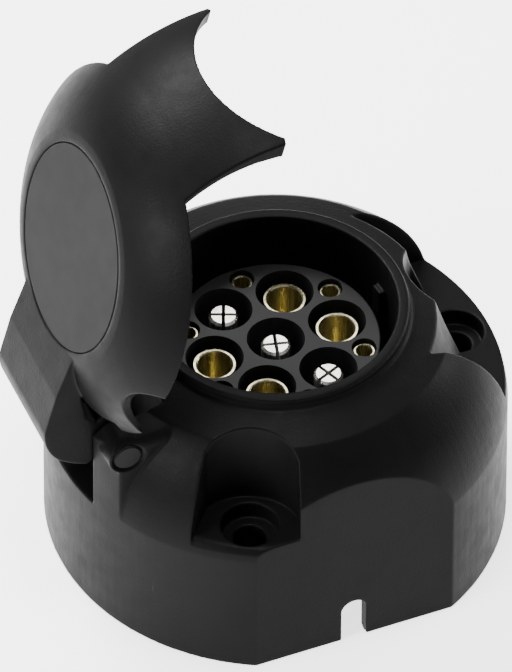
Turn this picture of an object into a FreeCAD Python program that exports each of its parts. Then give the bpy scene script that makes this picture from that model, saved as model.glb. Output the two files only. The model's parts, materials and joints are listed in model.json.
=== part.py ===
import FreeCAD, Part
import math
import os
import Sketcher
from FreeCAD import Placement, Rotation, Vector

# Round thirteen-contact trailer socket standing on its mounting face, mouth up, with its sprung lid open.
# Origin: centre of the mounting face.  +Z: out of the mouth.  -X: hinge.  +X: front of the lid.
# The lid is drawn closed, in the housing's own frame, and then turned about the hinge pin.

DIMENSIONS = {
    # housing shell
    "base_radius": 38.7,
    "wall_height": 25.0,
    "wall_thickness": 2.4,
    "flat_apothem": 34.4,
    "shoulder_radius": 27.0,
    "crease_radius": 29.1,
    "crease_height": 42.7,
    "core_edge_radius": 26.7,
    "core_edge_height": 43.5,
    "collar_foot_radius": 23.0,
    "collar_foot_height": 44.7,
    "collar_radius": 22.2,
    "collar_height": 46.7,
    "mouth_radius": 20.2,
    "edge_round": 0.4,
    "tube_radius": 22.6,
    "hollow_height": 40.0,
    "shelf_height": 20.0,
    "shelf_thickness": 2.5,
    "shelf_bore_radius": 16.8,
    "key_width": 2.4,
    "key_depth": 1.1,
    "key_angle": 7.0,
    # mounting screws, three at 56 mm spacing
    "screw_circle_radius": 32.33,
    "screw_hole_radius": 2.75,
    "screw_head_radius": 4.8,
    "screw_head_floor": 24.3,
    "screw_boss_radius": 5.4,
    # pockets over the two screws beside the hinge
    "pocket_floor": 27.5,
    "pocket_half_width": 7.4,
    "pocket_mouth_half_width": 10.0,
    "pocket_end_radius": 9.5,
    "pocket_depth_radius": 25.9,
    "pocket_lip_round": 2.0,
    # gap under the front of the lid, with the third screw
    "gap_half_width": 17.2,
    "gap_channel_depth_radius": 23.7,
    "gap_core_foot_radius": 32.0,
    # cable notch in the flat
    "notch_width": 4.4,
    "notch_height": 8.6,
    "notch_length": 12.0,
    # rear gasket
    "gasket_inset": 0.8,
    "gasket_width": 1.0,
    "gasket_thickness": 1.0,
    # hinge
    "hinge_x": -33.25,
    "hinge_height": 39.2,
    "hinge_pin_radius": 2.5,
    "hinge_pin_half_length": 16.75,
    "hinge_pin_chamfer": 0.3,
    "hinge_pin_rim": 0.4,
    "hinge_running_gap": 0.06,
    "slot_half_width": 10.6,
    "slot_floor": 24.1,
    "slot_inner_x": 24.6,
    "cheek_half_width": 16.9,
    "cheek_round": 2.3,
    "hinge_boss_radius": 3.4,
    "cheek_corner_height": 36.4,
    "cheek_top_x": 34.6,
    "cheek_top_height": 42.0,
    "cheek_inner_height": 42.5,
    # torsion spring
    "spring_bay_half_width": 5.4,
    "spring_bay_radius": 5.2,
    "spring_wire_radius": 0.5,
    "spring_coil_radius": 3.8,
    "spring_pitch": 1.3,
    "spring_length": 6.5,
    # contact insert
    "insert_radius": 17.4,
    "insert_face": 38.4,
    "flange_radius": 20.0,
    "flange_thickness": 4.0,
    "seal_thickness": 1.6,
    "contact_circle_radius": 11.0,
    "recess_radius": 4.85,
    "recess_floor": 26.0,
    "contact_radius": 3.5,
    "contact_bore_radius": 2.95,
    "contact_bore_floor": 22.0,
    "contact_lead_in": 0.2,
    "sleeve_top": 36.6,
    "pin_radius": 2.45,
    "pin_top": 37.2,
    "pin_chamfer": 0.4,
    "pin_slot_width": 0.6,
    "pin_slot_depth": 8.0,
    "small_circle_radius": 14.8,
    "small_recess_radius": 2.1,
    "small_recess_floor": 30.0,
    "small_radius": 1.7,
    "small_bore_radius": 1.35,
    "small_bore_floor": 26.0,
    "small_lead_in": 0.12,
    "small_top": 37.6,
    "tail_bottom": 8.0,
    "small_tail_bottom": 9.5,
    "wire_bore_radius": 1.6,
    "small_wire_bore_radius": 0.9,
    "wire_bore_depth": 6.0,
    "terminal_screw_radius": 1.25,
    "terminal_screw_length": 2.6,
    "insert_screw_radius": 1.1,
    "insert_screw_head_radius": 2.1,
    "insert_screw_head_height": 1.6,
    "insert_screw_length": 5.0,
    "insert_screw_circle": 18.4,
    # lid, closed
    "lid_opening": 75.5,
    "lid_clearance": 0.3,
    "lid_wall": 1.5,
    "lid_edge_radius": 30.1,
    "lid_edge_height": 43.7,
    "lid_top": 51.2,
    "lid_rim_radius": 19.5,
    "lid_dome_radius": 25.0,
    "beak_tip_radius": 39.1,
    "beak_tip_height": 28.0,
    "beak_tip_wall": 2.65,
    "beak_outer_round": 37.0,
    "beak_inner_round": 25.5,
    "lobe_height": 42.0,
    "lobe_inner_radius": 30.4,
    "lobe_side": 16.5,
    "lid_notch_inset": 0.3,
    "lid_ceiling": 48.9,
    "inlay_radius": 17.4,
    "inlay_gap": 0.06,
    "inlay_thickness": 0.9,
    "lid_seal_inner_radius": 20.3,
    "lid_seal_outer_radius": 22.2,
    "lid_seal_seat": 48.3,
    "scallop_radius": 19.5,
    "scallop_apex": 36.1,
    "block_half_width": 10.3,
    "block_top": 52.0,
    "block_shoulder_x": 32.4,
    "block_corner_x": 38.6,
    "block_corner_height": 48.0,
    "block_back_x": 40.2,
    "block_back_height": 42.3,
    "knuckle_radius": 4.6,
}

HEX_ANGLES = range(0, 360, 60)
SLEEVE_ANGLES = (0, 60, 180, 240)
PIN_ANGLES = (120, 300)
PIN_SLOT_TURNS = (-14.7, -22.6, 22.4)
SMALL_ANGLES = range(30, 390, 60)
SCREW_ANGLES = (0, 120, 240)
POCKET_ANGLES = (120, 240)
INSERT_SCREW_ANGLES = (60, 180, 300)
REACH = 60.0

doc = FreeCAD.newDocument("trailer_socket")
sheet = doc.addObject("Spreadsheet::Sheet", "dims")
for row, (alias, number) in enumerate(DIMENSIONS.items(), start=1):
    sheet.set("A%d" % row, alias)
    sheet.set("B%d" % row, str(number))
    sheet.setAlias("B%d" % row, alias)
doc.recompute()

parts = {}


def size(alias):
    return float(getattr(sheet, alias))


def cells(expression):
    """Put the sheet's name before every alias in an expression."""
    words = expression.replace("(", "( ").replace(")", " )").split()
    return " ".join("dims." + word if word in DIMENSIONS else word for word in words)


def amount(expression):
    """The number that an expression of aliases stands for."""
    return float(sheet.evalExpression(cells(expression)))


def bind(obj, **expressions):
    for name, expression in expressions.items():
        obj.setExpression(name, cells(expression))


def polar(radius, angle, height=0.0):
    turn = math.radians(angle)
    return Vector(radius * math.cos(turn), radius * math.sin(turn), height)


def cylinder(name, radius, height, base=Vector(), rotation=Rotation()):
    obj = doc.addObject("Part::Cylinder", name)
    bind(obj, Radius=radius, Height=height)
    obj.Placement = Placement(base, rotation)
    return obj


def cone(name, radius_low, radius_high, height, base=Vector()):
    obj = doc.addObject("Part::Cone", name)
    bind(obj, Radius1=radius_low, Radius2=radius_high, Height=height)
    obj.Placement = Placement(base, Rotation())
    return obj


def block(name, length, width, height, base, rotation=Rotation()):
    obj = doc.addObject("Part::Box", name)
    bind(obj, Length=length, Width=width, Height=height)
    obj.Placement = Placement(base, rotation)
    return obj


def cross_cylinder(name, radius, half_length, x, z):
    """A cylinder along Y, centred on the XZ plane."""
    return cylinder(name, radius, "2 * ( %s )" % half_length, Vector(x, amount(half_length), z),
                    Rotation(Vector(1, 0, 0), 90))


def fuse(name, shapes):
    obj = doc.addObject("Part::MultiFuse", name)
    obj.Shapes = shapes
    return obj


def cut(name, base, tool):
    obj = doc.addObject("Part::Cut", name)
    obj.Base = base
    obj.Tool = tool
    return obj


def common(name, shapes):
    obj = doc.addObject("Part::MultiCommon", name)
    obj.Shapes = shapes
    return obj


def outline(body, plane, points):
    """A closed sketch on one of the body's planes, every corner bound to the sheet.

    Each point is (across, up), or (across, up, radius, turn): then the stretch before it is an arc,
    which turns "left" or "right" along the outline.
    """
    sketch = body.newObject("Sketcher::SketchObject", body.Name + "_sketch")
    role = [f for f in body.Origin.OriginFeatures if f.Role == plane]
    sketch.AttachmentSupport = [(role[0], "")]
    sketch.MapMode = "FlatFace"
    places = [Vector(amount(point[0]), amount(point[1]), 0) for point in points]
    for index, point in enumerate(points):
        start, end = places[index - 1], places[index]
        if len(point) > 2:
            sketch.addGeometry(arc_between(start, end, amount(point[2]), point[3]), False)
        else:
            sketch.addGeometry(Part.LineSegment(start, end), False)
    for index, point in enumerate(points):
        following = (index + 1) % len(points)
        end_corner = 1 if point[3:] == ("right",) else 2
        start_corner = 2 if points[following][3:] == ("right",) else 1
        sketch.addConstraint(Sketcher.Constraint("Coincident", index, end_corner, following, start_corner))
        hold_corner(sketch, index, end_corner, "DistanceX", places[index].x, point[0])
        hold_corner(sketch, index, end_corner, "DistanceY", places[index].y, point[1])
        if len(point) > 2:
            number = sketch.addConstraint(Sketcher.Constraint("Radius", index, amount(point[2])))
            sketch.setExpression("Constraints[%d]" % number, cells(point[2]))
    return sketch


def hold_corner(sketch, index, corner, kind, number, expression):
    if abs(number) < 1e-9:
        axis = -2 if kind == "DistanceX" else -1
        sketch.addConstraint(Sketcher.Constraint("PointOnObject", index, corner, axis))
        return
    constraint = sketch.addConstraint(Sketcher.Constraint(kind, -1, 1, index, corner, number))
    sketch.setExpression("Constraints[%d]" % constraint, cells(expression))


def arc_between(start, end, radius, turn):
    chord = end - start
    half = chord.Length / 2
    left = Vector(-chord.y, chord.x, 0).normalize()
    side = 1 if turn == "left" else -1
    centre = start + chord * 0.5 + left * (side * math.sqrt(radius * radius - half * half))
    middle = centre - left * (side * radius)
    return Part.Arc(start, middle, end)


def revolved(name, points):
    body = doc.addObject("PartDesign::Body", name)
    sketch = outline(body, "XZ_Plane", points)
    revolution = body.newObject("PartDesign::Revolution", name + "_revolution")
    revolution.Profile = sketch
    revolution.ReferenceAxis = (sketch, ["V_Axis"])
    revolution.Angle = 360.0
    body.Tip = revolution
    return body


def padded(name, plane, points, length, middle=False):
    body = doc.addObject("PartDesign::Body", name)
    sketch = outline(body, plane, points)
    pad = body.newObject("PartDesign::Pad", name + "_pad")
    pad.Profile = sketch
    pad.Midplane = middle
    bind(pad, Length=length)
    body.Tip = pad
    return body


def keep(label, obj):
    """Name a finished sub-part and store it for export."""
    obj.Label = label
    parts[label] = obj
    return obj


# ---------------------------------------------------------------- housing

def envelope():
    """The housing as a solid of revolution: wall, rounded shoulder, shallow cone and collar."""
    return revolved("envelope", [
        ("0", "0"),
        ("base_radius", "0"),
        ("base_radius", "wall_height"),
        ("crease_radius", "crease_height", "shoulder_radius", "left"),
        ("core_edge_radius", "core_edge_height"),
        ("collar_foot_radius", "collar_foot_height"),
        ("collar_radius", "collar_foot_height + collar_foot_radius - collar_radius",
         "1.2 * ( collar_foot_radius - collar_radius )", "right"),
        ("collar_radius", "collar_height - edge_round"),
        ("collar_radius - edge_round", "collar_height", "edge_round", "left"),
        ("0", "collar_height"),
    ])


def hollow_envelope():
    """The space inside the shell, around the tube that carries the insert."""
    return revolved("hollow_envelope", [
        ("0", "0 - 1"),
        ("base_radius - wall_thickness", "0 - 1"),
        ("base_radius - wall_thickness", "wall_height"),
        ("crease_radius - 1.6", "hollow_height", "shoulder_radius", "left"),
        ("tube_radius", "hollow_height + 1.6"),
        ("tube_radius", "shelf_height - shelf_thickness"),
        ("0", "shelf_height - shelf_thickness"),
    ])


def pocket_flare(name, angle, wall, floor):
    """The tapering plan of a pocket beside the hinge, drawn up from floor."""
    flare = padded(name, "XY_Plane", [
        ("pocket_depth_radius - %g" % wall, "0 - pocket_half_width + 0.6 - %g" % wall),
        ("base_radius + 2", "0 - pocket_mouth_half_width - %g" % wall),
        ("base_radius + 2", "pocket_mouth_half_width + %g" % wall),
        ("pocket_depth_radius - %g" % wall, "pocket_half_width - 0.6 + %g" % wall),
    ], "%g" % REACH)
    flare.Placement = Placement(Vector(0, 0, floor), Rotation(Vector(0, 0, 1), angle))
    return flare


def pocket_lip(name, angle):
    """The rounding where a pocket's floor meets the outside of the wall."""
    corner = revolved(name + "_corner", [
        ("base_radius - pocket_lip_round", "pocket_floor + 1"),
        ("base_radius - pocket_lip_round", "pocket_floor"),
        ("base_radius", "pocket_floor - pocket_lip_round", "pocket_lip_round", "right"),
        ("base_radius + 3", "pocket_floor - pocket_lip_round"),
        ("base_radius + 3", "pocket_floor + 1"),
    ])
    return common(name, [corner, pocket_flare(name + "_flare", angle, 0.0, amount("wall_height - 2"))])


def side_pocket(name, angle, wall):
    """The arched recess over a screw beside the hinge, grown by wall for its backing."""
    turn = Rotation(Vector(0, 0, 1), angle)
    floor = amount("pocket_floor") - wall
    end_x = amount("pocket_depth_radius + pocket_end_radius")
    arch = cylinder(name + "_arch", "pocket_end_radius + %g" % wall, "%g" % REACH,
                    turn.multVec(Vector(end_x, 0, floor)), turn)
    flare = pocket_flare(name + "_flare", angle, wall, floor)
    mouth = block(name + "_mouth", "%g" % REACH, "%g" % REACH, "%g" % REACH,
                  turn.multVec(Vector(end_x, -REACH / 2, floor)), turn)
    throat = fuse(name + "_throat", [arch, mouth])
    return common(name, [flare, throat])


def front_gap(name, wall):
    """The gap between the two front bulges, outside the core, grown by wall for its backing."""
    floor = amount("pocket_floor") - wall
    half = amount("gap_half_width") + wall
    slab = block(name + "_slab", "%g" % REACH, "2 * ( gap_half_width + %g )" % wall, "%g" % REACH,
                 Vector(10, -half, floor))
    core = cone(name + "_core", "gap_core_foot_radius - %g" % wall, "core_edge_radius - %g" % wall,
                "core_edge_height - pocket_floor + %g" % wall, Vector(0, 0, floor))
    neck = cylinder(name + "_neck", "core_edge_radius - %g" % wall, "%g" % REACH,
                    Vector(0, 0, amount("core_edge_height")))
    return cut(name, slab, fuse(name + "_inside", [core, neck]))


def front_channel(name, wall):
    """The round-ended channel that lets a screwdriver reach the front screw."""
    floor = amount("pocket_floor") - wall
    end_x = amount("gap_channel_depth_radius + pocket_end_radius")
    arch = cylinder(name + "_arch", "pocket_end_radius + %g" % wall, "%g" % REACH, Vector(end_x, 0, floor))
    half = amount("pocket_half_width") + wall
    sides = block(name + "_sides", "%g" % REACH, "2 * ( pocket_half_width + %g )" % wall, "%g" % REACH,
                  Vector(amount("gap_channel_depth_radius") - wall, -half, floor))
    return common(name, [arch, sides])


def hinge_slot(name, wall):
    """The slot between the two hinge cheeks, open to the back and the top."""
    half = amount("slot_half_width") + wall
    inner = amount("slot_inner_x") - wall
    return block(name, "%g" % REACH, "2 * ( slot_half_width + %g )" % wall, "%g" % REACH,
                 Vector(-inner - REACH, -half, amount("slot_floor") - wall))


def cheeks():
    """Both hinge cheeks as one block with rounded shoulders, held inside the round wall."""
    side = padded("cheek_side", "XZ_Plane", [
        ("0 - base_radius", "wall_height - 5"),
        ("0 - slot_inner_x + 1", "wall_height - 5"),
        ("0 - slot_inner_x + 1", "cheek_inner_height"),
        ("0 - cheek_top_x", "cheek_top_height"),
        ("0 - base_radius", "cheek_corner_height", "6.5", "left"),
    ], "2 * cheek_half_width + 4", True)
    face = padded("cheek_face", "YZ_Plane", [
        ("0 - cheek_half_width", "wall_height - 6"),
        ("cheek_half_width", "wall_height - 6"),
        ("cheek_half_width", "cheek_inner_height - cheek_round"),
        ("cheek_half_width - cheek_round", "cheek_inner_height", "cheek_round", "left"),
        ("cheek_round - cheek_half_width", "cheek_inner_height"),
        ("0 - cheek_half_width", "cheek_inner_height - cheek_round", "cheek_round", "left"),
    ], "2 * %g" % REACH, True)
    bound = cylinder("cheek_bound", "base_radius", "%g" % REACH)
    boss = cross_cylinder("hinge_boss", "hinge_boss_radius", "cheek_half_width + 1",
                          size("hinge_x"), size("hinge_height"))
    return common("cheeks", [fuse("cheek_sides", [common("cheek_rounded", [side, bound]), boss]), face])


def pin_rims():
    """The shallow ring around each end of the hinge pin."""
    wide = cross_cylinder("pin_rim_wide", "hinge_pin_radius + hinge_pin_rim", "cheek_half_width + 3",
                          size("hinge_x"), size("hinge_height"))
    kept = cross_cylinder("pin_rim_kept", "hinge_pin_radius + 2", "cheek_half_width - hinge_pin_rim",
                          size("hinge_x"), size("hinge_height"))
    return cut("pin_rims", wide, kept)


def flat_cut(name, inset, height):
    """Everything beyond the flat on the -Y side."""
    apothem = amount("flat_apothem") - inset
    return block(name, "2 * %g" % REACH, "%g" % REACH, height, Vector(-REACH, -apothem - REACH, -1))


def flat_ring(name, inset, width, height, base):
    """A ring that follows the round wall and its flat."""
    outer = cylinder(name + "_outer", "base_radius - %g" % inset, height, Vector(0, 0, base))
    inner = cylinder(name + "_inner", "base_radius - %g" % (inset + width), "%s + 2" % height,
                     Vector(0, 0, base - 1))
    outer_flat = cut(name + "_outer_flat", outer, flat_cut(name + "_outer_cut", inset, "%g" % REACH))
    inner_flat = cut(name + "_inner_flat", inner, flat_cut(name + "_inner_cut", inset + width, "%g" % REACH))
    return cut(name, outer_flat, inner_flat)


def cable_notch(name):
    half = amount("notch_width / 2")
    outer_y = -amount("flat_apothem") - 4
    straight = block(name + "_straight", "notch_width", "notch_length", "notch_height - notch_width / 2 + 1",
                     Vector(-half, outer_y, -1))
    crown = cylinder(name + "_crown", "notch_width / 2", "notch_length",
                     Vector(0, outer_y + size("notch_length"), amount("notch_height - notch_width / 2")),
                     Rotation(Vector(1, 0, 0), 90))
    return fuse(name, [straight, crown])


def screw_cuts():
    tools = []
    for angle in SCREW_ANGLES:
        place = polar(amount("screw_circle_radius"), angle)
        tools.append(cylinder("screw_hole_%d" % angle, "screw_hole_radius", "%g" % REACH,
                              place - Vector(0, 0, 1)))
        tools.append(cylinder("screw_head_%d" % angle, "screw_head_radius", "%g" % REACH,
                              place + Vector(0, 0, amount("screw_head_floor"))))
    return tools


def screw_bosses():
    return [cylinder("screw_boss_%d" % angle, "screw_boss_radius", "pocket_floor",
                     polar(amount("screw_circle_radius"), angle)) for angle in SCREW_ANGLES]


def housing():
    wall = size("wall_thickness")
    hollow = cut("hollow", hollow_envelope(), fuse("hollow_kept", [
        side_pocket("pocket_back_%d" % angle, angle, wall) for angle in POCKET_ANGLES
    ] + screw_bosses() + [
        front_gap("gap_back", wall),
        front_channel("channel_back", wall),
        hinge_slot("slot_back", wall),
        flat_cut("flat_back", wall, "%g" % REACH),
    ]))
    mouth = cylinder("mouth", "mouth_radius", "%g" % REACH, Vector(0, 0, size("shelf_height")))
    shelf_bore = cylinder("shelf_bore", "shelf_bore_radius", "shelf_height")
    pin_bore = cross_cylinder("hinge_bore", "hinge_pin_radius", "cheek_half_width + 10",
                              size("hinge_x"), size("hinge_height"))
    solid = fuse("housing_solid", [envelope(), cheeks()])
    pockets = [side_pocket("pocket_%d" % angle, angle, 0.0) for angle in POCKET_ANGLES]
    lips = [pocket_lip("pocket_lip_%d" % angle, angle) for angle in POCKET_ANGLES]
    tools = pockets + lips + screw_cuts() + [
        front_gap("gap", 0.0),
        front_channel("channel", 0.0),
        hinge_slot("slot", 0.0),
        flat_cut("flat", 0.0, "%g" % REACH),
        cable_notch("notch"),
        mouth,
        shelf_bore,
        pin_bore,
        pin_rims(),
        hollow,
        flat_ring("gasket_groove", size("gasket_inset"), size("gasket_width"), "gasket_thickness", 0.0),
    ] + [cylinder("shelf_screw_hole_%d" % angle, "insert_screw_radius", "shelf_height",
                  polar(size("insert_screw_circle"), angle)) for angle in INSERT_SCREW_ANGLES]
    shell = cut("housing_shell", solid, fuse("housing_tools", tools))
    key_turn = Rotation(Vector(0, 0, 1), size("key_angle"))
    key_corner = Vector(amount("mouth_radius - key_depth"), -amount("key_width / 2"),
                        amount("shelf_height + flange_thickness + seal_thickness + 0.5"))
    key_height = "insert_face - shelf_height - flange_thickness"
    key = block("mouth_key", "key_depth + 0.8", "key_width", key_height,
                key_turn.multVec(key_corner), key_turn)
    keep("housing", fuse("housing_with_key", [shell, key]))


def rear_gasket():
    ring = flat_ring("gasket_ring", size("gasket_inset"), size("gasket_width"), "gasket_thickness", 0.0)
    keep("rear_gasket", cut("gasket_cut", ring, cable_notch("gasket_notch")))


# ---------------------------------------------------------------- contact insert

def contact_insert():
    body = revolved("insert_body", [
        ("0", "shelf_height"),
        ("flange_radius", "shelf_height"),
        ("flange_radius", "shelf_height + flange_thickness"),
        ("insert_radius", "shelf_height + flange_thickness"),
        ("insert_radius", "insert_face - 0.25"),
        ("insert_radius - 0.25", "insert_face", "0.25", "left"),
        ("0", "insert_face"),
    ])
    tools = []
    centres = [Vector()] + [polar(size("contact_circle_radius"), angle) for angle in HEX_ANGLES]
    for index, centre in enumerate(centres):
        tools.append(cylinder("recess_%d" % index, "recess_radius", "%g" % REACH,
                              centre + Vector(0, 0, size("recess_floor"))))
        tools.append(cylinder("contact_seat_%d" % index, "contact_radius", "%g" % REACH, centre))
    for index, angle in enumerate(SMALL_ANGLES):
        centre = polar(size("small_circle_radius"), angle)
        tools.append(cylinder("small_recess_%d" % index, "small_recess_radius", "%g" % REACH,
                              centre + Vector(0, 0, size("small_recess_floor"))))
        tools.append(cylinder("small_seat_%d" % index, "small_radius", "%g" % REACH, centre))
    for index, angle in enumerate(INSERT_SCREW_ANGLES):
        tools.append(cylinder("insert_screw_bore_%d" % index, "insert_screw_radius", "insert_screw_length",
                              polar(size("insert_screw_circle"), angle, size("shelf_height") - 2.5)))
    keep("contact_insert", cut("insert_cut", body, fuse("insert_tools", tools)))


def insert_seal():
    keep("insert_seal", revolved("insert_seal_body", [
        ("insert_radius + 0.05", "shelf_height + flange_thickness"),
        ("flange_radius", "shelf_height + flange_thickness"),
        ("flange_radius", "shelf_height + flange_thickness + seal_thickness"),
        ("insert_radius + 0.05", "shelf_height + flange_thickness + seal_thickness"),
    ]))


def sleeve(label, centre, radius, bore, bore_floor, top, lead_in, bottom):
    """A turned female contact with a chamfered mouth and a solid tail for the wire."""
    body = revolved(label + "_body", [
        ("0", bottom),
        (radius, bottom),
        (radius, top),
        ("%s + %s" % (bore, lead_in), top),
        (bore, "%s - %s" % (top, lead_in)),
        (bore, bore_floor),
        ("0", bore_floor),
    ])
    body.Placement = Placement(centre, Rotation())
    return body


def wire_bore(name, centre, radius, bottom):
    """The blind hole that takes the stripped wire."""
    start = centre + Vector(0, 0, amount(bottom) - 1)
    return cylinder(name + "_entry", radius, "wire_bore_depth + 1", start)


def screw_direction(centre):
    angle = math.degrees(math.atan2(centre.y, centre.x)) if centre.Length > 1 else 90.0
    return Rotation(Vector(0, 0, 1), angle)


def terminal(name, centre):
    """A radial cylinder in a large contact's tail, at the middle of its wire hole."""
    turn = screw_direction(centre)
    start = Vector(amount("contact_radius - wire_bore_radius - 0.3"), 0,
                   amount("tail_bottom + wire_bore_depth / 2"))
    return cylinder(name, "terminal_screw_radius", "terminal_screw_length", centre + turn.multVec(start),
                    turn.multiply(Rotation(Vector(0, 1, 0), 90)))


def contacts():
    large_screws = []
    for index, angle in enumerate(SLEEVE_ANGLES):
        centre = polar(size("contact_circle_radius"), angle)
        label = "sleeve_contact_%d" % (index + 1)
        solid = sleeve(label, centre, "contact_radius", "contact_bore_radius", "contact_bore_floor",
                       "sleeve_top", "contact_lead_in", "tail_bottom")
        large_screws.append(finish_contact(label, solid, centre))
    pins = [Vector()] + [polar(size("contact_circle_radius"), angle) for angle in PIN_ANGLES]
    for index, centre in enumerate(pins):
        label = "pin_contact_%d" % (index + 1)
        solid = slotted_pin(label, centre, PIN_SLOT_TURNS[index])
        large_screws.append(finish_contact(label, solid, centre))
    for index, angle in enumerate(SMALL_ANGLES):
        centre = polar(size("small_circle_radius"), angle)
        label = "small_contact_%d" % (index + 1)
        solid = sleeve(label, centre, "small_radius", "small_bore_radius", "small_bore_floor",
                       "small_top", "small_lead_in", "small_tail_bottom")
        keep(label, cut(label + "_cut", solid,
                        wire_bore(label, centre, "small_wire_bore_radius", "small_tail_bottom")))
    keep("terminal_screws", fuse("terminal_screw_group", large_screws))


def finish_contact(label, solid, centre):
    """Bore a large contact's tail for its wire and clamping screw, and return that screw."""
    entry = wire_bore(label, centre, "wire_bore_radius", "tail_bottom")
    keep(label, cut(label + "_cut", solid,
                    fuse(label + "_tools", [entry, terminal(label + "_screw_hole", centre)])))
    return cut(label + "_screw", terminal(label + "_screw_blank", centre),
               wire_bore(label + "_screw_clear", centre, "wire_bore_radius", "tail_bottom"))


def slotted_pin(label, centre, turn):
    """A male contact: a thick tail, a shoulder in the insert and a cross-slotted pin."""
    body = revolved(label + "_body", [
        ("0", "tail_bottom"),
        ("contact_radius", "tail_bottom"),
        ("contact_radius", "recess_floor"),
        ("pin_radius", "recess_floor"),
        ("pin_radius", "pin_top - pin_chamfer"),
        ("pin_radius - pin_chamfer", "pin_top"),
        ("0", "pin_top"),
    ])
    body.Placement = Placement(centre, Rotation())
    slots = []
    for index, angle in enumerate((turn, turn + 90)):
        spin = Rotation(Vector(0, 0, 1), angle)
        corner = spin.multVec(Vector(-4, -amount("pin_slot_width / 2"), amount("pin_top - pin_slot_depth")))
        slots.append(block("%s_slot_%d" % (label, index), "8", "pin_slot_width", "pin_slot_depth + 1",
                           centre + corner, spin))
    return cut(label + "_slotted", body, fuse(label + "_slots", slots))


def insert_screws():
    screws = []
    for index, angle in enumerate(INSERT_SCREW_ANGLES):
        name = "insert_screw_%d" % index
        low = size("shelf_height") - size("shelf_thickness")
        shank = cylinder(name + "_shank", "insert_screw_radius", "insert_screw_length",
                         polar(size("insert_screw_circle"), angle, low))
        seat = low - size("insert_screw_head_height")
        head = cylinder(name + "_head", "insert_screw_head_radius", "insert_screw_head_height",
                        polar(size("insert_screw_circle"), angle, seat))
        screws.append(fuse(name, [shank, head]))
    keep("insert_screws", fuse("insert_screw_group", screws))


# ---------------------------------------------------------------- lid

def lid_outside():
    """The closed lid as a solid of revolution: the curve of its beak, the dome and the flat disc."""
    return revolved("lid_outside", [
        ("0", "beak_tip_height"),
        ("beak_tip_radius", "beak_tip_height"),
        ("lid_edge_radius", "lid_edge_height", "beak_outer_round", "left"),
        ("lid_rim_radius", "lid_top - 0.2", "lid_dome_radius", "left"),
        ("lid_rim_radius - 1.2", "lid_top"),
        ("0", "lid_top"),
    ])


def lid_inside():
    """The space inside the lid, with the seat of its seal."""
    return revolved("lid_inside", [
        ("0", "beak_tip_height - 1"),
        ("beak_tip_radius - beak_tip_wall", "beak_tip_height - 1"),
        ("beak_tip_radius - beak_tip_wall", "beak_tip_height"),
        ("lid_edge_radius - lid_wall", "lid_edge_height", "beak_inner_round", "left"),
        ("lid_seal_outer_radius + 0.3", "lid_seal_seat - 0.7", "lid_dome_radius", "left"),
        ("lid_seal_outer_radius + 0.3", "lid_seal_seat"),
        ("lid_seal_inner_radius - 0.4", "lid_seal_seat"),
        ("lid_seal_inner_radius - 0.4", "lid_ceiling"),
        ("0", "lid_ceiling"),
    ])


def under_edge(name, stretch):
    """All the space under an edge of the lid: stretch is that edge's own part of the profile."""
    return revolved(name, [("0", "0"), ("%g" % REACH, "0")] + stretch + [
        ("collar_foot_radius", "collar_foot_height + lid_clearance"),
        ("0", "collar_foot_height + lid_clearance"),
    ])


def lobe_space():
    """Where the two lobes beside the hinge hang over the crease, outside the cheeks."""
    side = amount("lobe_side")
    blocks = [block("lobe_block_%d" % index, "20", "20", "20", Vector(-38, start, amount("lobe_height") - 5))
              for index, start in enumerate((side, -side - 20))]
    return cut("lobe_space", fuse("lobe_blocks", blocks), under_edge("lobe_under", [
        ("%g" % REACH, "lobe_height"),
        ("lobe_inner_radius", "lobe_height"),
        ("crease_radius + lid_clearance", "crease_height + lid_clearance"),
    ]))


def lid_trim():
    """Everything under the lid's edge; the front beak and the lobes are left to hang lower."""
    skirt = under_edge("skirt_under", [
        ("%g" % REACH, "lid_edge_height"),
        ("lid_edge_radius", "lid_edge_height"),
    ])
    spared = fuse("lid_spared", [front_gap("beak_space", -size("lid_clearance")), lobe_space()])
    return cut("lid_trim", skirt, spared)


def lid_notches():
    """The arched gaps in the lid's edge over the two pockets."""
    return [side_pocket("lid_notch_%d" % angle, angle, -size("lid_notch_inset")) for angle in POCKET_ANGLES]


def lid_scallop():
    """The round bite out of the beak, which leaves a horn at each side."""
    return cylinder("lid_scallop", "scallop_radius", "%g" % REACH,
                    Vector(15, 0, amount("scallop_apex - scallop_radius")), Rotation(Vector(0, 1, 0), 90))


def hinge_block():
    """The block that carries the lid: sloping flat top, rounded back, knuckles about the pin."""
    side = padded("block_side", "XZ_Plane", [
        ("0 - 16", "lid_ceiling + 0.5"),
        ("0 - 16", "lid_top"),
        ("0 - block_shoulder_x + 8", "block_top"),
        ("0 - block_shoulder_x", "block_top"),
        ("0 - block_corner_x", "block_corner_height", "9", "left"),
        ("0 - block_back_x", "block_back_height", "16", "left"),
        ("0 - block_back_x + 2", "block_back_height - 2"),
        ("hinge_x", "hinge_height"),
        ("hinge_x + 4", "crease_height + 2.5"),
        ("0 - 22.6", "lid_seal_seat"),
    ], "2 * block_half_width", True)
    knuckle = cross_cylinder("knuckle", "knuckle_radius", "block_half_width",
                             size("hinge_x"), size("hinge_height"))
    return fuse("hinge_block", [side, knuckle])


def lid_shell():
    tools = [lid_inside(), lid_trim(), lid_scallop()] + lid_notches()
    shell = cut("lid_hollowed", lid_outside(), fuse("lid_shell_tools", tools))
    bore = cross_cylinder("knuckle_bore", "hinge_pin_radius + hinge_running_gap", "block_half_width + 2",
                          size("hinge_x"), size("hinge_height"))
    bay = cross_cylinder("spring_bay", "spring_bay_radius", "spring_bay_half_width",
                         size("hinge_x"), size("hinge_height"))
    inlay_seat = cylinder("inlay_seat", "inlay_radius + inlay_gap", "5",
                          Vector(0, 0, amount("lid_top - inlay_thickness")))
    solid = fuse("lid_solid", [shell, hinge_block()])
    return keep("lid_shell", cut("lid_cut", solid, fuse("lid_bores", [bore, bay, inlay_seat])))


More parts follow.
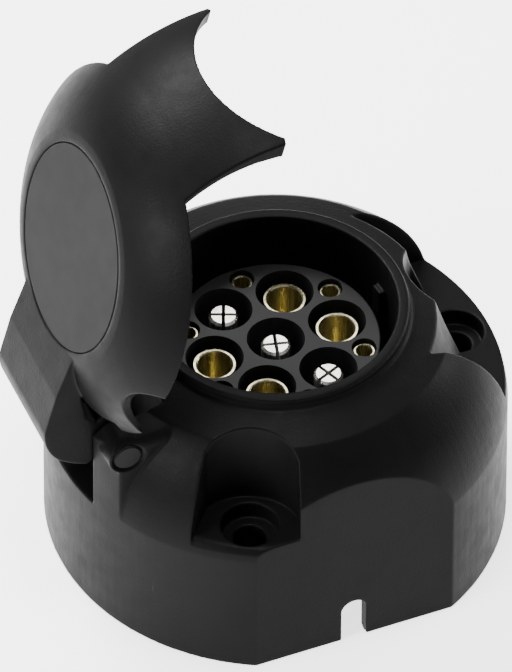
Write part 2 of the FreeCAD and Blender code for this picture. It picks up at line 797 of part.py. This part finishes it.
def lid_inlay():
    return keep("lid_inlay", revolved("inlay_body", [
        ("0", "lid_top - inlay_thickness"),
        ("inlay_radius", "lid_top - inlay_thickness"),
        ("inlay_radius", "lid_top - 0.25"),
        ("inlay_radius - 0.25", "lid_top", "0.25", "left"),
        ("0", "lid_top"),
    ]))


def lid_seal():
    return keep("lid_seal", revolved("lid_seal_body", [
        ("lid_seal_inner_radius", "collar_height + lid_clearance"),
        ("lid_seal_outer_radius", "collar_height + lid_clearance"),
        ("lid_seal_outer_radius", "lid_seal_seat"),
        ("lid_seal_inner_radius", "lid_seal_seat"),
    ]))


def open_lid(pieces):
    """Turn the closed lid about the hinge pin to its open place."""
    axis = Vector(size("hinge_x"), 0, size("hinge_height"))
    swing = Rotation(Vector(0, -1, 0), size("lid_opening"))
    placement = Placement(axis, Rotation()).multiply(Placement(Vector(), swing)).multiply(
        Placement(axis * -1, Rotation()))
    for piece in pieces:
        piece.Placement = placement


# ---------------------------------------------------------------- hinge hardware

def hinge_pin():
    pin = revolved("hinge_pin_body", [
        ("0", "0 - hinge_pin_half_length"),
        ("hinge_pin_radius - hinge_pin_chamfer", "0 - hinge_pin_half_length"),
        ("hinge_pin_radius", "hinge_pin_chamfer - hinge_pin_half_length"),
        ("hinge_pin_radius", "hinge_pin_half_length - hinge_pin_chamfer"),
        ("hinge_pin_radius - hinge_pin_chamfer", "hinge_pin_half_length"),
        ("0", "hinge_pin_half_length"),
    ])
    pin.Placement = Placement(Vector(size("hinge_x"), 0, size("hinge_height")),
                              Rotation(Vector(1, 0, 0), 90))
    keep("hinge_pin", pin)


def torsion_spring():
    helix = doc.addObject("Part::Helix", "spring_helix")
    bind(helix, Radius="spring_coil_radius", Pitch="spring_pitch", Height="spring_length")
    ring = doc.addObject("Part::Circle", "spring_section")
    bind(ring, Radius="spring_wire_radius")
    ring.Placement = Placement(Vector(size("spring_coil_radius"), 0, 0), Rotation(Vector(1, 0, 0), 90))
    doc.recompute()
    coil = doc.addObject("Part::Sweep", "spring_coil")
    coil.Sections = [ring]
    coil.Spine = (helix, [])
    coil.Solid = True
    coil.Frenet = True
    coil.Placement = Placement(Vector(size("hinge_x"), amount("spring_length / 2"), size("hinge_height")),
                               Rotation(Vector(1, 0, 0), 90))
    keep("torsion_spring", coil)


def check_and_write():
    doc.recompute()
    for obj in doc.Objects:
        if "Invalid" in obj.State or "Error" in obj.State:
            raise RuntimeError("%s failed: %s" % (obj.Name, obj.State))
    os.makedirs("parts", exist_ok=True)
    for label, obj in parts.items():
        shape = obj.Shape
        if shape.isNull() or not shape.isValid():
            raise RuntimeError("%s has no valid shape" % label)
        print(label, len(shape.Solids), round(shape.Volume, 1))
        shape.exportStep("parts/%s.step" % label)


housing()
rear_gasket()
contact_insert()
insert_seal()
contacts()
insert_screws()
hinge_pin()
torsion_spring()
lid_pieces = [lid_shell(), lid_inlay(), lid_seal()]
doc.recompute()
open_lid(lid_pieces)
check_and_write()
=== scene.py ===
import json
import math

import bmesh
import bpy
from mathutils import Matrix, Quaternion, Vector


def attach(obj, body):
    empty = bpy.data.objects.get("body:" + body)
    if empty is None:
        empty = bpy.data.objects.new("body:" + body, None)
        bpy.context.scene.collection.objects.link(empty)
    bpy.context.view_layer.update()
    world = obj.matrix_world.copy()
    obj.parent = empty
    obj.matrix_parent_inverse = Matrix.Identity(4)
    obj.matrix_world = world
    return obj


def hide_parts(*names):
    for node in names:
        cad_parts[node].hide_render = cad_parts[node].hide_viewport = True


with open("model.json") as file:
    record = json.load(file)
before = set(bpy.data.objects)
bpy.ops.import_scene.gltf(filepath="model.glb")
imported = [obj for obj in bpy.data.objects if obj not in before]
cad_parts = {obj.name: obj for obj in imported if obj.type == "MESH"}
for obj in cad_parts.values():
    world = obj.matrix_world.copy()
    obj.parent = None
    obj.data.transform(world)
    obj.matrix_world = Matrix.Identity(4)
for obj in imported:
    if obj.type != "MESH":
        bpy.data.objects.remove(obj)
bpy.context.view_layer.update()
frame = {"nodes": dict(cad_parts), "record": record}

# Black plastic trailer socket with its lid open, on a pale studio floor.  Metres, in the CAD frame.
# Lengths given as a number times MM are millimetres.

MM = 0.001

VIEW_AZIMUTH = math.radians(-22.6)
VIEW_ELEVATION = math.radians(46.2)
VIEW_ROLL = math.radians(0.26)
VIEW_DISTANCE = 3.484
LENS = 1121.4
SENSOR_WIDTH = 36.0
VIEW_CLIP = 20.0
AIM_RIGHT = -3.30 * MM
AIM_UP = 9.70 * MM
AIM_HEIGHT = 25.0 * MM

FLOOR_HALF_SIZE = 3.0
FLOOR_HEIGHT = -0.02 * MM
FLOOR_GREY = 0.88
FLOOR_ROUGHNESS = 0.8
FLOOR_GLOW = 2.2
FLOOR_FAR_GLOW = 0.25
FLOOR_FADE = (0.10, 0.30)
HORIZON_LIGHT = 0.42
CEILING_LIGHT = 0.30
SKY_FADE = (0.05, 0.40)
SOFT_BOX_AIM = Vector((0, 0, 40.0 * MM))
SOFT_BOX_DISTANCE = 0.60
# name, azimuth and elevation in degrees, width and height in metres, watts
SOFT_BOXES = (
    ("back_left_box", -158, 47, 0.34, 0.22, 9.4),
    ("back_box", 157, 46, 0.20, 0.20, 0.5),
    ("left_box", -80, 24, 0.24, 0.18, 4.4),
    ("right_box", 100, 20, 0.40, 0.20, 4.0),
    ("top_box", -22, 85, 0.12, 0.12, 2.8),
)

# noise scales are waves per metre; a grain is its scale and its depth
NOISE_SPAN = (0.3, 0.7)
DRIFT_SCALE = 60.0
GLOSS_SCALE = 350.0
SHELL_GRAIN = (2600.0, 0.040 * MM)
SMOOTH_GRAIN = (4200.0, 0.003 * MM)
PIN_GRAIN = (4200.0, 0.004 * MM)
STREAK_SCALE = 1400.0
STREAK_STRETCH = 14.0
STREAK_SPAN = (0.38, 0.66)
SCRATCH_SCALE = 3200.0
SCRATCH_STRETCH = 18.0
SCRATCH_DEPTH = 0.010 * MM
RUBBER_DRIFT_SCALE = 200.0
RUBBER_GRAIN = (2600.0, 0.01 * MM)
RUBBER_ROUGHNESS = 0.72

SMOOTH_FACTOR = 0.5
DECIMATE_SHARE = 0.16
CRUMB_POINTS = 100


# ---------------------------------------------------------------- camera, floor and light

def outward(azimuth, elevation):
    """The unit vector away from the object, from angles in radians where azimuth 0 is -Y."""
    return Vector((math.sin(azimuth) * math.cos(elevation),
                   -math.cos(azimuth) * math.cos(elevation),
                   math.sin(elevation)))


def view_axes():
    back = outward(VIEW_AZIMUTH, VIEW_ELEVATION)
    right = Vector((math.cos(VIEW_AZIMUTH), math.sin(VIEW_AZIMUTH), 0.0))
    return right, back.cross(right), back


def add_camera():
    right, up, back = view_axes()
    aim = Vector((0, 0, AIM_HEIGHT)) + right * AIM_RIGHT + up * AIM_UP
    data = bpy.data.cameras.new("camera")
    data.lens = LENS
    data.sensor_width = SENSOR_WIDTH
    data.clip_end = VIEW_CLIP
    camera = bpy.data.objects.new("camera", data)
    bpy.context.scene.collection.objects.link(camera)
    camera.location = aim + back * VIEW_DISTANCE
    camera.rotation_mode = "QUATERNION"
    camera.rotation_quaternion = back.to_track_quat("Z", "Y")
    camera.rotation_quaternion.rotate(Quaternion(back, VIEW_ROLL))
    bpy.context.scene.camera = camera


def smooth_fade(tree, span, near, far):
    """A node that eases from the near value to the far one as its input crosses the span."""
    fade = tree.nodes.new("ShaderNodeMapRange")
    fade.interpolation_type = "SMOOTHSTEP"
    for socket, value in zip(("From Min", "From Max", "To Min", "To Max"), (*span, near, far)):
        fade.inputs[socket].default_value = value
    return fade


def add_floor():
    """A white table that glows around the object like a light table, and fades further out."""
    half = FLOOR_HALF_SIZE
    mesh = bpy.data.meshes.new("studio_floor")
    corners = [(-half, -half, 0), (half, -half, 0), (half, half, 0), (-half, half, 0)]
    mesh.from_pydata(corners, [], [(0, 1, 2, 3)])
    floor = bpy.data.objects.new("studio_floor", mesh)
    bpy.context.scene.collection.objects.link(floor)
    floor.location.z = FLOOR_HEIGHT
    material = bpy.data.materials.new("pale_floor")
    material.use_nodes = True
    shader = material.node_tree.nodes["Principled BSDF"]
    shader.inputs["Base Color"].default_value = (FLOOR_GREY, FLOOR_GREY, FLOOR_GREY, 1)
    shader.inputs["Roughness"].default_value = FLOOR_ROUGHNESS
    shader.inputs["Specular IOR Level"].default_value = 0.0
    shader.inputs["Emission Color"].default_value = (1, 1, 1, 1)
    tree = material.node_tree
    places = tree.nodes.new("ShaderNodeTexCoord")
    distance = tree.nodes.new("ShaderNodeVectorMath")
    distance.operation = "LENGTH"
    fade = smooth_fade(tree, FLOOR_FADE, FLOOR_GLOW, FLOOR_FAR_GLOW)
    tree.links.new(places.outputs["Object"], distance.inputs[0])
    tree.links.new(distance.outputs["Value"], fade.inputs["Value"])
    tree.links.new(fade.outputs["Result"], shader.inputs["Emission Strength"])
    mesh.materials.append(material)


def add_soft_box(name, azimuth, elevation, width, height, power):
    direction = outward(math.radians(azimuth), math.radians(elevation))
    data = bpy.data.lights.new(name, "AREA")
    data.shape = "RECTANGLE"
    data.size = width
    data.size_y = height
    data.energy = power
    light = bpy.data.objects.new(name, data)
    bpy.context.scene.collection.objects.link(light)
    light.location = SOFT_BOX_AIM + direction * SOFT_BOX_DISTANCE
    light.rotation_mode = "QUATERNION"
    light.rotation_quaternion = direction.to_track_quat("Z", "Y")


def add_sky():
    """A dim studio, a little brighter at the horizon than overhead."""
    world = bpy.data.worlds.new("studio")
    bpy.context.scene.world = world
    world.use_nodes = True
    tree = world.node_tree
    directions = tree.nodes.new("ShaderNodeTexCoord")
    split = tree.nodes.new("ShaderNodeSeparateXYZ")
    tree.links.new(directions.outputs["Generated"], split.inputs["Vector"])
    fade = smooth_fade(tree, SKY_FADE, HORIZON_LIGHT, CEILING_LIGHT)
    tree.links.new(split.outputs["Z"], fade.inputs["Value"])
    tree.links.new(fade.outputs["Result"], tree.nodes["Background"].inputs["Strength"])
    tree.nodes["Background"].inputs["Color"].default_value = (1, 1, 1, 1)


def add_lights():
    add_sky()
    for soft_box in SOFT_BOXES:
        add_soft_box(*soft_box)


# ---------------------------------------------------------------- materials

class Nodes:
    """Short names for building one node tree."""

    def __init__(self, name):
        self.material = bpy.data.materials.new(name)
        self.material.use_nodes = True
        self.tree = self.material.node_tree
        self.shader = self.tree.nodes["Principled BSDF"]

    def add(self, kind, **values):
        node = self.tree.nodes.new(kind)
        for key, value in values.items():
            if key in node.inputs:
                node.inputs[key].default_value = value
            else:
                setattr(node, key, value)
        return node

    def link(self, source, target):
        self.tree.links.new(source, target)

    def places(self):
        return self.add("ShaderNodeTexCoord").outputs["Object"]

    def noise(self, scale, detail=2.0, roughness=0.5, stretch=1.0):
        """Noise in object space, drawn out along Z when stretch is above 1."""
        node = self.add("ShaderNodeTexNoise", Scale=scale, Detail=detail, Roughness=roughness)
        squeeze = self.add("ShaderNodeVectorMath", operation="MULTIPLY")
        squeeze.inputs[1].default_value = (1.0, 1.0, 1.0 / stretch)
        self.link(self.places(), squeeze.inputs[0])
        self.link(squeeze.outputs["Vector"], node.inputs["Vector"])
        return node.outputs["Fac"]

    def remap(self, source, low, high, to_low, to_high):
        node = self.add("ShaderNodeMapRange")
        node.inputs["From Min"].default_value = low
        node.inputs["From Max"].default_value = high
        node.inputs["To Min"].default_value = to_low
        node.inputs["To Max"].default_value = to_high
        self.link(source, node.inputs["Value"])
        return node.outputs["Result"]

    def mix(self, factor, colour_a, colour_b):
        node = self.add("ShaderNodeMix", data_type="RGBA")
        for socket in node.inputs:
            if socket.identifier == "A_Color":
                socket.default_value = (*colour_a, 1)
            if socket.identifier == "B_Color":
                socket.default_value = (*colour_b, 1)
        self.link(factor, node.inputs["Factor"])
        return [s for s in node.outputs if s.identifier == "Result_Color"][0]

    def bump(self, height, distance, strength):
        node = self.add("ShaderNodeBump")
        node.inputs["Strength"].default_value = strength
        node.inputs["Distance"].default_value = distance
        self.link(height, node.inputs["Height"])
        return node.outputs["Normal"]


def moulded_plastic(name, dark, light, rough_low, rough_high, grain, specular):
    """Black moulded plastic: a fine eroded grain, faint colour drift and uneven gloss."""
    n = Nodes(name)
    grain_scale, grain_depth = grain
    drift = n.noise(DRIFT_SCALE, 3.0)
    n.link(n.mix(n.remap(drift, *NOISE_SPAN, 0.0, 1.0), dark, light), n.shader.inputs["Base Color"])
    gloss = n.noise(GLOSS_SCALE, 3.0)
    n.link(n.remap(gloss, *NOISE_SPAN, rough_low, rough_high), n.shader.inputs["Roughness"])
    n.shader.inputs["Specular IOR Level"].default_value = specular
    n.link(n.bump(n.noise(grain_scale, 2.0, 0.6), grain_depth, 1.0), n.shader.inputs["Normal"])
    return n.material


def drawn_metal(name, bright, worn, roughness):
    """Drawn metal: streaks and fine scratches along Z, and slight tarnish."""
    n = Nodes(name)
    streaks = n.noise(STREAK_SCALE, 3.0, 0.6, STREAK_STRETCH)
    n.link(n.mix(n.remap(streaks, *STREAK_SPAN, 0.0, 1.0), bright, worn), n.shader.inputs["Base Color"])
    n.shader.inputs["Metallic"].default_value = 1.0
    n.link(n.remap(streaks, *NOISE_SPAN, roughness * 0.8, roughness * 1.4), n.shader.inputs["Roughness"])
    scratches = n.noise(SCRATCH_SCALE, 2.0, 0.5, SCRATCH_STRETCH)
    n.link(n.bump(scratches, SCRATCH_DEPTH, 0.7), n.shader.inputs["Normal"])
    return n.material


def rubber(name, dark, light):
    """Matte rubber: faint colour drift and a fine grain."""
    n = Nodes(name)
    grain_scale, grain_depth = RUBBER_GRAIN
    n.link(n.mix(n.noise(RUBBER_DRIFT_SCALE, 3.0), dark, light), n.shader.inputs["Base Color"])
    n.shader.inputs["Roughness"].default_value = RUBBER_ROUGHNESS
    n.link(n.bump(n.noise(grain_scale, 2.0), grain_depth, 0.6), n.shader.inputs["Normal"])
    return n.material


def make_materials():
    return {
        "black_shell": moulded_plastic(
            "shell_plastic", (0.0037, 0.0037, 0.0039), (0.0050, 0.0050, 0.0052),
            0.36, 0.46, SHELL_GRAIN, 0.036),
        "black_disc": moulded_plastic(
            "disc_plastic", (0.005, 0.005, 0.005), (0.0065, 0.0065, 0.0065),
            0.38, 0.44, SMOOTH_GRAIN, 0.030),
        "insert_plastic": moulded_plastic(
            "insert_plastic", (0.009, 0.009, 0.0094), (0.012, 0.012, 0.0125),
            0.36, 0.46, SMOOTH_GRAIN, 0.12),
        "hinge_pin": moulded_plastic(
            "pin_plastic", (0.0070, 0.0070, 0.0073), (0.0090, 0.0090, 0.0094),
            0.34, 0.42, PIN_GRAIN, 0.06),
        "brass": drawn_metal("drawn_brass", (0.86, 0.81, 0.56), (0.44, 0.39, 0.20), 0.22),
        "plated_contact": drawn_metal("nickel_plate", (0.97, 0.95, 0.90), (0.88, 0.85, 0.78), 0.24),
        "screw_steel": drawn_metal("zinc_steel", (0.62, 0.62, 0.60), (0.45, 0.45, 0.44), 0.34),
        "black_rubber": rubber("black_rubber", (0.010, 0.010, 0.010), (0.022, 0.022, 0.022)),
    }


def give(obj, material):
    obj.data.materials.clear()
    obj.data.materials.append(material)


# ---------------------------------------------------------------- moulded shells with rounded edges

def crumbs(shape):
    """The points of every island too small to be a surface of the moulding."""
    seen, small = set(), []
    for start in shape.verts:
        if start in seen:
            continue
        seen.add(start)
        island = [start]
        for point in island:
            for edge in point.link_edges:
                other = edge.other_vert(point)
                if other not in seen:
                    seen.add(other)
                    island.append(other)
        if len(island) < CRUMB_POINTS:
            small += island
    return small


def drop_strays(mesh):
    """Take out faces with the same corners as another, and the crumbs that remeshing leaves."""
    faces = {}
    for polygon in mesh.polygons:
        faces.setdefault(frozenset(polygon.vertices), []).append(polygon.index)
    shape = bmesh.new()
    shape.from_mesh(mesh)
    shape.faces.ensure_lookup_table()
    doubled = [shape.faces[index] for same in faces.values() if len(same) > 1 for index in same]
    bmesh.ops.delete(shape, geom=doubled, context="FACES")
    bmesh.ops.delete(shape, geom=crumbs(shape), context="VERTS")
    shape.to_mesh(mesh)
    shape.free()


def rounded_copy(node, name, voxel, passes):
    """A copy of a CAD shell, remeshed and smoothed so that its edges are rounded like a moulding."""
    source = frame["nodes"][node]
    obj = bpy.data.objects.new(name, source.data.copy())
    bpy.context.scene.collection.objects.link(obj)
    remesh = obj.modifiers.new("remesh", "REMESH")
    remesh.mode = "VOXEL"
    remesh.voxel_size = voxel
    smooth = obj.modifiers.new("smooth", "SMOOTH")
    smooth.factor = SMOOTH_FACTOR
    smooth.iterations = passes
    decimate = obj.modifiers.new("decimate", "DECIMATE")
    decimate.ratio = DECIMATE_SHARE
    depsgraph = bpy.context.evaluated_depsgraph_get()
    mesh = bpy.data.meshes.new_from_object(obj.evaluated_get(depsgraph))
    obj.modifiers.clear()
    obj.data = mesh
    mesh.name = name
    drop_strays(mesh)
    mesh.validate()
    mesh.shade_smooth()
    return obj


def add_shells(materials):
    # node, piece, body, voxel size, smoothing passes, slot
    jobs = (
        ("housing", "housing_moulding", "base", 0.16 * MM, 18, "black_shell"),
        ("lid_shell", "lid_moulding", "lid", 0.14 * MM, 20, "black_shell"),
    )
    for node, name, body, voxel, passes, slot in jobs:
        piece = rounded_copy(node, name, voxel, passes)
        give(piece, materials[slot])
        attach(piece, body)
        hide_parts(node)


def colour_nodes(materials):
    slots = {row["node"]: row["material_slot"] for row in frame["record"]["subparts"]}
    for node, obj in frame["nodes"].items():
        give(obj, materials[slots[node]])


add_camera()
add_floor()
add_lights()
materials = make_materials()
colour_nodes(materials)
add_shells(materials)
